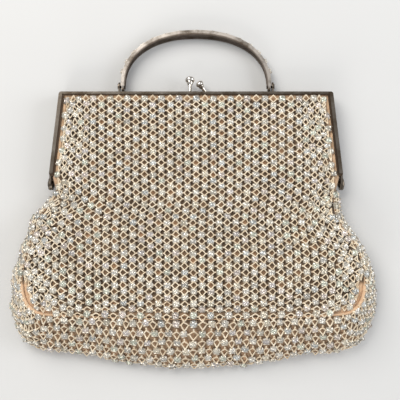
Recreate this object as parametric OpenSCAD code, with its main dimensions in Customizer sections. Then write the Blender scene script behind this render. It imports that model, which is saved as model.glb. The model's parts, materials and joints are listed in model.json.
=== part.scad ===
// Evening bag with a kiss-lock frame, a swinging bow handle and a pouch of stone net over cloth.
// The bag lies on its back: +X to its right, +Y towards the handle, +Z out of its front face.
// The origin is under the middle of the whole object, on the surface that it lies on.

/* [Frame] */
// Width of the frame across its top corners
frame_w = 164.4; // [160:0.2:168]
// Height of the frame, from the arm ends to the top edge
frame_h = 50.8; // [48:0.2:54]
// How much wider each side is at the arm end than at the top corner
arm_flare = 6.2; // [5.6:0.1:6.4]
// Front-to-back depth of one half of the frame
half_depth = 5.6; // [5.6:0.1:5.8]
// Width of the channel's face along the arms
face_w = 3.4; // [3.2:0.1:3.6]
// Width of the channel's face along the top bar
top_face_w = 2.2; // [2:0.1:2.6]
// Thickness of the channel's sheet metal
sheet_t = 0.8; // [0.7:0.05:0.9]
// Radius of the frame's top corners
corner_r = 1.5; // [1:0.1:2]

/* [Hinges] */
// Height of the hinge line below the arm ends
hinge_drop = 4.7; // [4.5:0.1:5]
// Radius of the hinge ears
ear_r = 3.6; // [3.2:0.1:3.8]
// Radius of the hinge rivets
rivet_r = 1.2; // [1:0.05:1.3]

/* [Handle] */
// Half-width of the handle at its feet, to the middle of the strip
handle_a = 44.5; // [42:0.1:46]
// Height of the handle's crown above its pivots, to the middle of the strip
handle_b = 31.1; // [30:0.1:34]
// How square the handle's arch is
handle_n = 2.2; // [2:0.05:2.6]
// How much taller the arch is at the front of the strip than at the back, as a share
handle_flare = 0.045; // [0:0.005:0.05]
// Depth of the handle's strip
strip_depth = 6.5; // [6:0.1:6.6]
// Thickness of the strip at its raised rims
rim_t = 2.6; // [2.2:0.1:2.8]
// Number of stones along the handle
handle_stone_count = 15; // [9:2:17]

/* [Kiss lock] */
// Radius of the ball on the front half
front_ball_r = 2.9; // [2.5:0.05:2.9]
// Radius of the ball on the back half
back_ball_r = 2.4; // [2:0.05:2.4]
// How flat the balls are, as their height over their width
ball_share = 0.74; // [0.7:0.02:1]

/* [Pouch] */
// Depth of the pouch at its base, from the floor to the front seam
base_depth = 26.5; // [20:0.5:32]
// How far the front panel crowns between the frame's arms
front_crown = 1.5; // [0:0.1:2]
// Thickness of the stone net
net_t = 2.4; // [2.2:0.05:2.4]
// Thickness of the backing cloth
backing_t = 0.5; // [0.3:0.05:0.5]
// Thickness of the lining
lining_t = 0.4; // [0.3:0.05:0.4]

/* [Hidden] */
$fn = 48;

pewter = [0.56, 0.52, 0.47];
silver = [0.80, 0.79, 0.76];
crystal = [0.88, 0.90, 0.92];
net_grey = [0.78, 0.74, 0.68];
peach = [0.88, 0.72, 0.57];
satin = [0.85, 0.70, 0.58];
paper = [0.80, 0.74, 0.62];

// Heights above the floor
back_face_z = 1.0;
parting_gap = 0.2;
mid_z = back_face_z + half_depth + parting_gap / 2;
front_net_z = 2 * mid_z;

// Places along the bag's height
frame_top = 64.8;
arm_end = frame_top - frame_h;
hinge_y = arm_end - hinge_drop;
arm_angle = atan(arm_flare / frame_h);
arm_end_x = frame_w / 2 + arm_flare;
arm_round = face_w / 2;

// Frame's channel and face
web_t = 1.0;
bead_w = 2.1;
face_step = 0.35;
cord_in = 1.4;
cord_out = 2.8;
cord_t = 1.4;
cord_gap = 0.2;
top_share = top_face_w / face_w;

// Hinge ears, as distances outwards from the middle of the bag
ear_t = 1.0;
front_ear_x = arm_end_x - 1.4;
back_ear_x = front_ear_x + ear_t + 0.2;
ear_root = 3.0;
running_gap = 0.05;
rivet_head_r = 2.2;
rivet_head_t = 0.7;

// Handle
pivot_y = frame_top + 4.2;
pivot_z = 4.3;
strip_t = 1.0;
rim_w = 1.2;
foot_r = strip_depth / 2;
foot_t = 1.6;
pin_r = 0.9;
arch_steps = 56;
cup_r = 1.5;
cup_h = 1.5;
stone_r = 1.2;
stone_h = 2.3;
lug_t = 1.0;
lug_x = handle_a + 1.8;
lug_r = 2.6;

// Layers of the pouch wall, as depths below the outer face of the net
cloth_gap = 0.1;
lining_gap = 0.6;
backing_d = net_t + cloth_gap;
lining_d = backing_d + backing_t + lining_gap;
seam_gap = 0.15;
net_inset = face_w + 0.4;
tuck_inset = web_t + 0.3;

// Rows of the soft panels
upper_low_y = arm_end + 4;
first_row = 0.05;
panel_cols = 20;
upper_rows = 6;
lower_rows = 14;
gusset_cols = 34;
gusset_rows = 6;
seam_steps = 36;

// Outline of the pouch from the hinge to the middle of the base: side, corner and base curves
OUTLINE = [
    [[84.8, 4], [97.5, -21.5], [110.5, -40], [110.5, -61]],
    [[110.5, -61], [110.5, -79], [103, -92.4], [88, -94.2]],
    [[88, -94.2], [60, -97.6], [14, -105], [0, -105]],
];
// Seam between the front panel and the gusset, in the same three stretches
FRONT_SEAM = [
    [[83.5, 4], [92, -18], [101, -30], [101, -50]],
    [[101, -50], [101, -60], [96, -67.5], [84, -68.3]],
    [[84, -68.3], [55, -70], [20, -71], [0, -71]],
];

// ---- curves ----

function bezier(p, t) =
    p[0] * (1 - t) ^ 3 + 3 * p[1] * t * (1 - t) ^ 2 + 3 * p[2] * t ^ 2 * (1 - t) + p[3] * t ^ 3;

// Point on a three-stretch path at q, from 0 at the hinge to 3 at the middle of the base
function on_path(path, q) =
    let (k = min(floor(q), 2))
    bezier(path[k], q - k);

// The same point moved into the bag by an inset, square to the path
function inset_path(path, q, inset) =
    let (
        step = 0.01,
        ahead = on_path(path, min(q + step, 3)),
        behind = on_path(path, max(q - step, 0)),
        t = (ahead - behind) / norm(ahead - behind)
    )
    on_path(path, q) + inset * [t[1], -t[0]];

// ---- frame outline ----

// Half-width of the frame's outer edge at a height
function frame_x(y) = frame_w / 2 + (frame_top - y) * tan(arm_angle);

// Right half of the frame's outline, moved in by an inset, from the arm end to the middle.
// The inset is narrower along the top bar, as the channel is.
function frame_side(inset, low_y) =
    let (
        r = max(corner_r - inset, 0.4),
        cy = frame_top - inset * top_share - r,
        cx = frame_x(cy) - (inset + r) / cos(arm_angle)
    )
    concat(
        [[frame_x(low_y) - inset / cos(arm_angle), low_y]],
        [for (i = [0:4]) let (a = arm_angle + i * (90 - arm_angle) / 4) [cx + r * cos(a), cy + r * sin(a)]]
    );

function reversed(points) = [for (i = [len(points) - 1:-1:0]) points[i]];
function flipped(points) = [for (p = points) [-p[0], p[1]]];

// Flat U between two insets of the frame's outline
module frame_band(outer, inner) {
    outside = frame_side(outer, arm_end + arm_round);
    inside = frame_side(inner, arm_end + arm_round);
    polygon(concat(outside, flipped(reversed(outside)), flipped(inside), reversed(inside)));
}

module both_sides() {
    children();
    mirror([1, 0, 0]) children();
}

// Cylinder along X between two distances from the middle
module x_cylinder(x0, x1, r, y, z) {
    translate([x0, y, z]) rotate([0, 90, 0]) cylinder(h = x1 - x0, r = r);
}

// Rod from one point to another, r0 thick at the start and r1 at the end
module rod(p, q, r0, r1) {
    d = q - p;
    translate(p)
        rotate([0, acos(d[2] / norm(d)), atan2(d[1], d[0])])
            cylinder(h = norm(d), r1 = r0, r2 = r1);
}

// One half of the frame in the front half's place, without its hinge ears
module half_channel() {
    low = mid_z + parting_gap / 2;
    high = low + half_depth;
    translate([0, 0, low]) linear_extrude(half_depth) frame_band(0, web_t);
    translate([0, 0, low]) linear_extrude(sheet_t) frame_band(0, face_w);
    translate([0, 0, high - sheet_t]) linear_extrude(sheet_t) frame_band(0, bead_w);
    translate([0, 0, high - sheet_t]) linear_extrude(sheet_t - face_step) frame_band(0, face_w);
    end_x = frame_x(arm_end + arm_round) - face_w / 2 / cos(arm_angle);
    both_sides() {
        translate([end_x, arm_end + arm_round, low]) cylinder(h = sheet_t, r = arm_round);
        translate([end_x, arm_end + arm_round, high - sheet_t]) cylinder(h = sheet_t - face_step, r = arm_round);
    }
}

// Ear of the right hinge: a disc round the hinge line, and a neck up to the arm
module hinge_ear(x0, z0, z1) {
    x_cylinder(x0, x0 + ear_t, ear_r, hinge_y, mid_z);
    translate([x0, hinge_y, z0]) cube([ear_t, hinge_drop + ear_root, z1 - z0]);
}

module front_frame() {
    hole_x = front_knob_foot[0];
    color(pewter) difference() {
        union() {
            half_channel();
            both_sides() hinge_ear(front_ear_x, mid_z + 0.1, mid_z + half_depth - 0.4);
        }
        both_sides() x_cylinder(front_ear_x - 1, front_ear_x + ear_t + 1, rivet_r + running_gap, hinge_y, mid_z);
        rod(front_knob_foot - [0, 2, 0], front_knob_foot + [0, 1, 0], tenon_r, tenon_r);
    }
}

module back_frame() {
    neck_low = back_face_z + 0.4;
    neck_high = mid_z - 0.1;
    jog_x = frame_x(arm_end) - web_t;
    color(pewter) difference() {
        union() {
            translate([0, 0, 2 * mid_z]) mirror([0, 0, 1]) half_channel();
            both_sides() {
                hinge_ear(back_ear_x, neck_low, neck_high);
                translate([jog_x, arm_end + arm_round, neck_low])
                    cube([back_ear_x + ear_t - jog_x, ear_root - arm_round, neck_high - neck_low]);
            }
        }
        both_sides() x_cylinder(back_ear_x - 1, back_ear_x + ear_t + 1, rivet_r, hinge_y, mid_z);
        rod(back_knob_foot - [0, 2, 0], back_knob_foot + [0, 1, 0], tenon_r, tenon_r);
    }
}

// Rivet of the right hinge, fast in the back half's ear
module hinge_rivet() {
    inner = front_ear_x - 0.1;
    outer = back_ear_x + ear_t;
    color(pewter) {
        x_cylinder(inner, outer, rivet_r, hinge_y, mid_z);
        translate([inner, hinge_y, mid_z]) rotate([0, -90, 0])
            cylinder(h = rivet_head_t, r1 = rivet_head_r, r2 = rivet_head_r - 0.6);
        translate([outer, hinge_y, mid_z]) rotate([0, 90, 0])
            cylinder(h = rivet_head_t, r1 = rivet_head_r, r2 = rivet_head_r - 0.6);
    }
}

module hinge_rivet_left() { mirror([1, 0, 0]) hinge_rivet(); }
module hinge_rivet_right() { hinge_rivet(); }

// ---- kiss lock ----

tenon_r = 1.1;
tenon_gap = 0.02;
tenon_l = web_t * top_share + 0.15;
stem_r = 1.15;
stem_foot_r = 0.9;
seat_r = 1.6;
seat_h = 0.5;
collar_r = 2.0;
collar_h = 1.5;
front_knob_foot = [-3.6, frame_top, mid_z + 2.9];
front_ball = [-3.7, frame_top + 7.6, mid_z + 0.8];
back_knob_foot = [6.4, frame_top, mid_z - 2.9];
back_ball = [2.1, frame_top + 5.6, mid_z - 0.8];

// Flattened ball on a tapered stem, with a collar under it, a seat on the frame and a tenon
module knob(foot, ball, ball_r) {
    up = (ball - foot) / norm(ball - foot);
    collar_top = ball - up * ball_r * ball_share * 0.8;
    steps = 20;
    profile = [for (i = [0:steps]) let (a = -90 + 180 * i / steps) ball_r * [cos(a), ball_share * sin(a)]];
    color(silver) {
        translate(ball) rotate([0, acos(up[2]), atan2(up[1], up[0])]) rotate_extrude() polygon(profile);
        rod(collar_top - up * collar_h, collar_top, collar_r * 0.7, collar_r);
        difference() {
            rod(foot - up, collar_top, stem_foot_r, stem_r);
            translate(foot - [5, 5, 5]) cube([10, 5, 10]);
        }
        rod(foot, foot + [0, seat_h, 0], seat_r, stem_foot_r);
        rod(foot - [0, tenon_l, 0], foot + [0, 0.1, 0], tenon_r - tenon_gap, tenon_r - tenon_gap);
    }
}

module front_knob() { knob(front_knob_foot, front_ball, front_ball_r); }
module back_knob() { knob(back_knob_foot, back_ball, back_ball_r); }

// ---- handle ----

// Point on the middle of the strip, at an angle from the right foot
function arch(angle) =
    let (c = cos(angle), s = abs(sin(angle)))
    [sign(c) * handle_a * abs(c) ^ (2 / handle_n), handle_b * s ^ (2 / handle_n)];

// Outward direction of the arch at the same angle
function arch_normal(angle) =
    let (
        p = arch(angle),
        g = [
            sign(p[0]) * (abs(p[0]) / handle_a) ^ (handle_n - 1) / handle_a,
            (p[1] / handle_b) ^ (handle_n - 1) / handle_b
        ]
    )
    g / norm(g);

function arch_line(out) = [for (i = [0:arch_steps])
    let (a = 180 * i / arch_steps) arch(a) + out * arch_normal(a)];

// Flat arch of a given thickness, in the plane of the bag
module arch_band(thickness) {
    polygon(concat(arch_line(thickness / 2), reversed(arch_line(-thickness / 2))));
}

module handle() {
    low = pivot_z - strip_depth / 2;
    front = 1 + handle_flare;
    color(pewter) difference() {
        union() {
            translate([0, pivot_y, low])
                linear_extrude(strip_depth, scale = [1, front], slices = 1) arch_band(strip_t);
            translate([0, pivot_y, low]) linear_extrude(rim_w) arch_band(rim_t);
            translate([0, pivot_y, low + strip_depth - rim_w])
                linear_extrude(rim_w) scale([1, front]) arch_band(rim_t);
            both_sides() x_cylinder(handle_a - foot_t / 2, handle_a + foot_t / 2, foot_r, pivot_y, pivot_z);
        }
        both_sides() x_cylinder(handle_a - 2, handle_a + 2, pin_r + running_gap, pivot_y, pivot_z);
    }
}

// Lug of the right foot: a base soldered on the back half, and an ear outside the foot
module handle_lug() {
    base_t = 0.7;
    base_d = 4.4;
    base_x = handle_a - 3;
    base_w = 8.3;
    color(pewter) difference() {
        union() {
            translate([base_x, frame_top, pivot_z - base_d / 2]) cube([base_w, base_t, base_d]);
            translate([lug_x, frame_top, pivot_z - base_d / 2]) cube([lug_t, pivot_y - frame_top, base_d]);
            x_cylinder(lug_x, lug_x + lug_t, lug_r, pivot_y, pivot_z);
        }
        x_cylinder(lug_x - 1, lug_x + lug_t + 1, pin_r, pivot_y, pivot_z);
    }
}

module handle_lug_left() { mirror([1, 0, 0]) handle_lug(); }
module handle_lug_right() { handle_lug(); }

// Pin of the right foot, fast in the lug
module handle_pin() {
    inner = handle_a - foot_t / 2 - 0.1;
    outer = lug_x + lug_t;
    head_t = 0.5;
    color(pewter) {
        x_cylinder(inner, outer, pin_r, pivot_y, pivot_z);
        x_cylinder(inner - head_t, inner, pin_r + 0.5, pivot_y, pivot_z);
        x_cylinder(outer, outer + head_t, pin_r + 0.7, pivot_y, pivot_z);
    }
}

module handle_pin_left() { mirror([1, 0, 0]) handle_pin(); }
module handle_pin_right() { handle_pin(); }

// Places its child at each stone on the handle's outer face, with +Z out of the face,
// which leans back because of the flare
module at_handle_stones() {
    first = 14;
    for (i = [0:handle_stone_count - 1]) {
        angle = first + (180 - 2 * first) * i / (handle_stone_count - 1);
        n = arch_normal(angle);
        middle = arch(angle);
        lean = atan(middle[1] * handle_flare / strip_depth * n[1]);
        p = [middle[0], middle[1] * (1 + handle_flare / 2)] + n * strip_t / 2;
        translate([p[0], pivot_y + p[1], pivot_z])
            rotate([0, 0, atan2(n[1], n[0])])
                rotate([0, 90 + lean, 0]) children();
    }
}

module handle_stone_cups() {
    floor_t = 0.25;
    color(pewter) at_handle_stones() difference() {
        translate([0, 0, 0.02]) cylinder(h = cup_h, r = cup_r);
        translate([0, 0, floor_t]) cylinder(h = cup_h, r = stone_r + 0.02);
    }
}

module handle_stones() {
    seat = 0.3;
    color(crystal) at_handle_stones() {
        translate([0, 0, seat]) cylinder(h = cup_h - seat, r = stone_r);
        translate([0, 0, cup_h]) cylinder(h = stone_h - cup_h, r1 = stone_r, r2 = stone_r * 0.55);
    }
}

// ---- packing cords ----

module packing_cord() { linear_extrude(cord_t) frame_band(cord_in, cord_out); }

module front_packing_cord() {
    low = mid_z + parting_gap / 2 + sheet_t + cord_gap;
    color(paper) translate([0, 0, low]) packing_cord();
}

module back_packing_cord() {
    high = mid_z - parting_gap / 2 - sheet_t - cord_gap;
    color(paper) translate([0, 0, high - cord_t]) packing_cord();
}

// ---- soft panels ----

// Closed shell between an outer and an inner grid of points
module shell(outer, inner) {
    rows = len(outer);
    cols = len(outer[0]);
    n = rows * cols;
    points = concat([for (row = outer) each row], [for (row = inner) each row]);
    top = [for (r = [0:rows - 2]) for (c = [0:cols - 2])
        let (a = r * cols + c, b = a + 1, d = a + cols, e = d + 1)
        each [[a, e, b], [a, d, e]]];
    bottom = [for (f = top) [f[2] + n, f[1] + n, f[0] + n]];
    ring = concat(
        [for (c = [0:cols - 1]) c],
        [for (r = [1:rows - 1]) r * cols + cols - 1],
        [for (c = [cols - 2:-1:0]) (rows - 1) * cols + c],
        [for (r = [rows - 2:-1:1]) r * cols]
    );
    edge = [for (i = [0:len(ring) - 1])
        let (a = ring[i], b = ring[(i + 1) % len(ring)])
        each [[a, b, b + n], [a, b + n, a + n]]];
    polyhedron(points, concat(top, bottom, edge));
}

// Shape of the base edge: width as a share of the corner's, and height above the corner
function base_shape(path, u, inset) =
    let (edge = inset_path(path, 2, inset), p = inset_path(path, 3 - abs(u), inset))
    [sign(u) * p[0] / edge[0], p[1] - edge[1]];

// Height of the front seam above the floor
function seam_z(q) = front_net_z + (base_depth - front_net_z) * sin(90 * min(q, 1));

// Front panel below the hinges: u across from -1 to 1, q down the seam from 0 to 2
function front_low(u, q, depth) =
    let (
        inset = seam_gap + 0.6 * depth,
        edge = inset_path(FRONT_SEAM, q, inset),
        base = base_shape(FRONT_SEAM, u, inset),
        crown = front_crown * (1 - q / 2) * (1 - u ^ 2)
    )
    [edge[0] * base[0], edge[1] + base[1] * (q / 2) ^ 2, seam_z(q) - depth + crown];

// Front panel inside the frame: u across, v from 0 at its lower edge to 1 at the top bar
function front_high(u, v, depth, inset) =
    let (
        top = frame_top - inset * top_share,
        y = upper_low_y + (top - upper_low_y) * v,
        half = frame_x(y) - inset / cos(arm_angle),
        crown = front_crown * (1 - v) * (1 - u ^ 2)
    )
    [u * half, y, front_net_z - depth + crown];

// Gusset: q along the outline, w from 0 at the back seam to 1 at the front seam
function gusset(q, w, depth) =
    let (
        b = inset_path(OUTLINE, q, 1.5 + 0.8 * depth),
        c = inset_path(OUTLINE, q, depth - 4),
        r = inset_path(FRONT_SEAM, q, 0.6 * depth),
        back = [b[0], b[1], depth],
        belly = [c[0], c[1], 7 - 0.5 * depth],
        front = [r[0], r[1], seam_z(q) - depth]
    )
    back * (1 - w) ^ 2 + belly * 2 * w * (1 - w) + front * w ^ 2;

module front_upper_layer(depth, thickness, inset) {
    function grid(d) = [for (i = [0:upper_rows]) [for (j = [0:panel_cols])
        front_high(2 * j / panel_cols - 1, i / upper_rows, d, inset)]];
    shell(grid(depth), grid(depth + thickness));
}

module front_lower_layer(depth, thickness) {
    function grid(d) = [for (i = [lower_rows:-1:0]) [for (j = [0:panel_cols])
        front_low(2 * j / panel_cols - 1, first_row + (2 - first_row) * i / lower_rows, d)]];
    shell(grid(depth), grid(depth + thickness));
}

module gusset_layer(depth, thickness) {
    function side(j) = sign(j) == 0 ? 1 : sign(j);
    function at(j, w, d) =
        let (p = gusset(3 - (3 - first_row) * abs(j) / gusset_cols, w, d))
        [side(j) * p[0], p[1], p[2]];
    function grid(d) = [for (i = [0:gusset_rows]) [for (j = [-gusset_cols:gusset_cols]) at(j, i / gusset_rows, d)]];
    shell(grid(depth), grid(depth + thickness));
}

// Flat layer of the back panel, inset in the frame and along the seam
module back_layer(depth, thickness, inset) {
    tuck_end = arm_end + 0.8;
    seam_inset = 1.5 + 0.8 * (depth + thickness) + seam_gap;
    upper = frame_side(inset, tuck_end);
    waist = [[frame_x(arm_end) - net_inset, arm_end - 0.4]];
    lower = [for (i = [0:seam_steps - 1]) inset_path(OUTLINE, 3 * i / seam_steps, seam_inset)];
    half = concat(reversed(upper), waist, lower);
    translate([0, 0, depth]) linear_extrude(thickness) polygon(concat(half, flipped(reversed(half))));
}

module front_net_upper() { color(net_grey) front_upper_layer(0, net_t, net_inset); }
module front_net_lower() { color(net_grey) front_lower_layer(0, net_t); }
module back_net() { color(net_grey) back_layer(0, net_t, net_inset); }
module gusset_net() { color(net_grey) gusset_layer(0, net_t); }

module front_backing_upper() { color(peach) front_upper_layer(backing_d, backing_t, tuck_inset); }
module front_backing_lower() { color(peach) front_lower_layer(backing_d, backing_t); }
module back_backing() { color(peach) back_layer(backing_d, backing_t, tuck_inset); }
module gusset_backing() { color(peach) gusset_layer(backing_d, backing_t); }

module front_lining_upper() { color(satin) front_upper_layer(lining_d, lining_t, tuck_inset); }
module front_lining_lower() { color(satin) front_lower_layer(lining_d, lining_t); }
module back_lining() { color(satin) back_layer(lining_d, lining_t, tuck_inset); }
module gusset_lining() { color(satin) gusset_layer(lining_d, lining_t); }

front_frame();
back_frame();
hinge_rivet_left();
hinge_rivet_right();
front_knob();
back_knob();
handle();
handle_lug_left();
handle_lug_right();
handle_pin_left();
handle_pin_right();
handle_stone_cups();
handle_stones();
front_packing_cord();
back_packing_cord();
front_net_upper();
front_net_lower();
back_net();
gusset_net();
front_backing_upper();
front_backing_lower();
back_backing();
gusset_backing();
front_lining_upper();
front_lining_lower();
back_lining();
gusset_lining();
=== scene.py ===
"""Looks of the evening bag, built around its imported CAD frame.

Lengths are in millimetres in every function, and put_mesh() turns them into metres. The bag lies on
its back: +X to its right, +Y towards the handle, +Z out of its front. Each fabric panel is a Patch,
a table of points at two depths, and the net's threads and stones are placed on it by lattice
column and row, so that they follow the cloth.
"""

import json
import math

import bpy
import numpy as np
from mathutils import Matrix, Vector


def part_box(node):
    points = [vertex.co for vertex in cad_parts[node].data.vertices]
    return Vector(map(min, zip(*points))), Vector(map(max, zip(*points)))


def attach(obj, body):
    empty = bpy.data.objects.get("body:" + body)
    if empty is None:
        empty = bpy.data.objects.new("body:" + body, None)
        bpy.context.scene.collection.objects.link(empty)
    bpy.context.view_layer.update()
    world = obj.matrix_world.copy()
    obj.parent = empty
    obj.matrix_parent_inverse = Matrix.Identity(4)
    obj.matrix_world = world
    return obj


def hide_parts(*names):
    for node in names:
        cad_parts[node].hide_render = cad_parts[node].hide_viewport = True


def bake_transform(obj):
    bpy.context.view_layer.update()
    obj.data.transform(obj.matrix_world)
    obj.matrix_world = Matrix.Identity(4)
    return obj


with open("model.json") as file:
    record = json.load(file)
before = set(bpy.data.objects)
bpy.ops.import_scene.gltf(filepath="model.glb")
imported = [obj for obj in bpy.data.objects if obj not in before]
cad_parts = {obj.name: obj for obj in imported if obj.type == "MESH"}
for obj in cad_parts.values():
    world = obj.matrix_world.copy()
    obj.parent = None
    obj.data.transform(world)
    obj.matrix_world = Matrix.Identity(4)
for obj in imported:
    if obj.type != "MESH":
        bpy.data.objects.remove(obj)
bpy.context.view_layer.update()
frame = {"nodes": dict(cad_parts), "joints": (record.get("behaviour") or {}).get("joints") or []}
MM = 0.001
random = np.random.default_rng(7)


# ---- sizes ----

def corners(node):
    """Lowest and highest corner of a CAD node, in mm."""
    low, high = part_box(node)
    return np.array(low) / MM, np.array(high) / MM


FRAME_TOP = corners("front_frame")[1][1]
FRAME_FACE_Z = corners("front_frame")[1][2]
RIDGE_Z = corners("gusset_net")[1][2]
PIVOT_Y, PIVOT_Z = (v / MM for v in frame["joints"][1]["pos_m"][1:])

FRAME_HALF = 82.2      # half the frame's width at its top
ARM_FLARE = 6.2        # how much wider each side is at the arm end
FRAME_H = 50.8
FRONT_Z = FRAME_FACE_Z + 1.0
TUCK = 1.3             # from the frame's outer edge to the cloth inside its channel
NET_TUCK = 3.8         # from the frame's outer edge to the net
TOP_SHARE = 2.2 / 3.4  # how much narrower the channel is along the top bar
CLOTH_TOP = FRAME_TOP - TUCK * TOP_SHARE
UPPER_END = 18.0       # the front panel's straight-sided part ends here
WAIST = 0.5            # and the part that follows the seam starts here
CROWN = 1.5
NET_T = 2.4
BACKING = (2.5, 3.0)   # depths of the cloths' two faces below the net's outer face
LINING = (3.6, 4.0)
TABLE_DEPTH = 4.0      # the depth of a patch's second table
FRONT_END = -70.99     # where the middle of the front panel ends, at its seam
BACK_END = -101.2      # and the middle of the back panel

# Right halves of the pouch's outline and of its front seam: Bezier stretches from below the hinge to
# the middle of the base
OUTLINE = [
    [[84.8, 4], [97.5, -21.5], [110.5, -40], [110.5, -61]],
    [[110.5, -61], [110.5, -79], [103, -92.4], [88, -94.2]],
    [[88, -94.2], [60, -97.6], [14, -105], [0, -105]],
]
FRONT_SEAM = [
    [[83.5, 4], [92, -18], [101, -30], [101, -50]],
    [[101, -50], [101, -60], [96, -67.5], [84, -68.3]],
    [[84, -68.3], [55, -70], [20, -71], [0, -71]],
]

# The net: columns and rows of stones and thread rings in a chequer
COLUMN = 5.16
ROW = 3.6
ROW_STRETCH = 0.06     # the rows are this share closer than ROW at the top, and wider at the base
GUSSET_COLUMN = 4.4
GUSSET_ROWS = (7.0, 4.2)   # pitch of its rows: pulled long under the base, and short at the sides
GUSSET_FIRST = (3.2, 1.7)  # from the ridge to its first row, at the base and at the sides
GUSSET_LAST = 2.3      # from its last row to its back seam, at least
OVER_RIDGE = 3.0       # how far its cloth's table reaches over the ridge, for the threads there
RIDGE_MARGIN = 1.9     # from the ridge to the front net's last row and columns
BACK_MARGIN = (1.9, 2.0)  # from the back seam to the back net's columns and last row
BARE_MARGIN = 4.5      # from the ridge to the front net, where each side's cloth shows
BARE = (-58.0, 9.0)    # middle and half-length of that stretch of the side, along Y
CORNER_GAP = 84.0      # the front net's last row stops this far from the middle
CORNER_PATCH = (89.0, -66.5, 9.0, 4.0)  # middle and spread of where the lower corners get no painted shade
STONE_R = 2.0
STONE_TOP = 2.12       # height of a stone's flat top, its cup's foot being at 0
THREAD_R = 0.36
EDGE_ZONE = 18.0       # width of the strip where the net is bunched at its sides
BUNCHING = 1.42        # how many times closer the columns are there, about
STRAY = (0.42, 0.4)    # how far the stones there stray from their places, across and down
LATTICE_FIRST = (-1, -24)     # first row and column of a flat panel's lattice table
FIRST_ROW = (NET_TUCK - TUCK) * TOP_SHARE + 1.95
PANEL_REACH = (0.385, 0.56)   # half-width and half-height of a thread ring, in columns and rows
GUSSET_REACH = (0.43, 0.42)
GUSSET_NET = (0.44, 1.08, 0.6)  # its thread's radius, its stones' size, and how far they face up
# Width and length of each panel's cut in metres, and its area in square metres
FRONT_CUT = (0.212, 0.140, 0.0245)
BACK_CUT = (0.218, 0.168, 0.0300)
GUSSET_CUT = (0.410, 0.042, 0.0122)
# Handle's arch: half-width, height and squareness
HANDLE_ARCH = (44.5, 31.1, 2.2)
HANDLE_FLARE = 0.045
HANDLE_STONES = 15
HANDLE_STONE_TOP = 2.8        # from the middle of the strip
HANDLE_STONE_SIZE = 0.7       # against the net's stones
STRIP_DEPTH = 6.5
SETTLE_STEP = 2        # the front cloth is settled on every second point of its table
SETTLE_FRAMES = 16
SETTLE_CAP = 2.5       # the furthest that a point may move
SLOUCH_LOW = 1.5       # how far the pouch has slumped sideways at its base
SLOUCH_WAIST = 3.6     # and how much further just below the hinges
WAIST_Y = -11.0        # where that is
DENT = (74, -46)       # middle of the dent at each side of the front panel
DENT_DEPTH = 2.6
DENT_SPREAD = (17, 10) # its half-length and half-width
ACROSS = np.linspace(-1, 1, 181)   # the columns of the panels' tables


# ---- curves and surfaces ----

def on_path(path, q):
    """Points of a path of three Bezier stretches, q from 0 to 3."""
    q = np.clip(np.asarray(q, float), 0, 3)
    stretch = np.minimum(q.astype(int), 2)
    t = (q - stretch)[..., None]
    points = np.array(path, float)[stretch]
    a, b, c, d = (points[..., k, :] for k in range(4))
    s = 1 - t
    return s**3 * a + 3 * s**2 * t * b + 3 * s * t**2 * c + t**3 * d


def inset_path(path, q, inset):
    """The path moved inwards by inset."""
    q = np.asarray(q, float)
    along = on_path(path, np.minimum(q + 0.01, 3)) - on_path(path, np.maximum(q - 0.01, 0))
    along /= np.linalg.norm(along, axis=-1, keepdims=True)
    return on_path(path, q) + inset * np.stack([along[..., 1], -along[..., 0]], -1)


def seam_z(q):
    return FRONT_Z + (RIDGE_Z - FRONT_Z) * np.sin(np.pi / 2 * np.minimum(q, 1))


def frame_x(y):
    return FRAME_HALF + (FRAME_TOP - y) * ARM_FLARE / FRAME_H


def smooth(t):
    t = np.clip(t, 0, 1)
    return t * t * (3 - 2 * t)


def lower_rows(path, q, f, inset):
    """x and y of the rows q of a panel inside a path, at the fractions f from its middle to its sides."""
    edge = inset_path(path, q, inset)[:, None, :]
    u = np.linspace(0, 1, 200)
    base = inset_path(path, 3 - u, inset)
    drop = np.interp(np.abs(f), base[:, 0] / base[-1, 0], base[:, 1] - base[-1, 1])[None, :]
    return f[None, :] * edge[..., 0], edge[..., 1] + drop * (q[:, None] / 2) ** 2


def q_of_height(path, inset, y):
    """Which row q has its middle at height y."""
    q = np.linspace(0.02, 2, 400)
    middle = lower_rows(path, q, np.array([0.0]), inset)[1][:, 0]
    return np.interp(-y, -middle, q)


def front_rows(y, f, depth):
    """Points of the front panel for rows whose middles are at heights y, and fractions f across."""
    inset = 0.15 + 0.6 * depth

    def high(rows):
        half = frame_x(rows) - TUCK
        crown = CROWN * (1 - (rows - UPPER_END) / (CLOTH_TOP - UPPER_END))[:, None] * (1 - f[None, :] ** 2)
        ys = np.repeat(rows[:, None], len(f), 1)
        return np.stack([f[None, :] * half[:, None], ys, FRONT_Z - depth + crown], -1)

    def low(rows):
        q = q_of_height(FRONT_SEAM, 0.15, rows)
        x, ys = lower_rows(FRONT_SEAM, q, f, inset)
        z = seam_z(q)[:, None] - depth + CROWN * (1 - q[:, None] / 2) * (1 - f[None, :] ** 2)
        return np.stack([x, ys, z], -1)

    turn = smooth((UPPER_END - y) / (UPPER_END - WAIST))[:, None, None]
    above, below = high(np.maximum(y, UPPER_END)), low(np.minimum(y, WAIST))
    rows = above * (1 - turn) + below * turn
    turning = (y < UPPER_END) & (y > WAIST)
    rows[turning, :, 1] = y[turning, None]
    return rows


def back_rows(y, f, depth):
    """Points of the back panel, flat on the surface that the bag lies on."""
    inset = 3.57 + 0.8 * depth
    q = q_of_height(OUTLINE, inset, y)
    x, ys = lower_rows(OUTLINE, q, f, inset)
    side = (frame_x(y) - TUCK)[:, None] * f[None, :]
    up = smooth((y + 2) / 20)[:, None]
    x, ys = x * (1 - up) + side * up, np.where(up > 0, y[:, None], ys)
    return np.stack([x, ys, np.full_like(x, depth)], -1)


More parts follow.
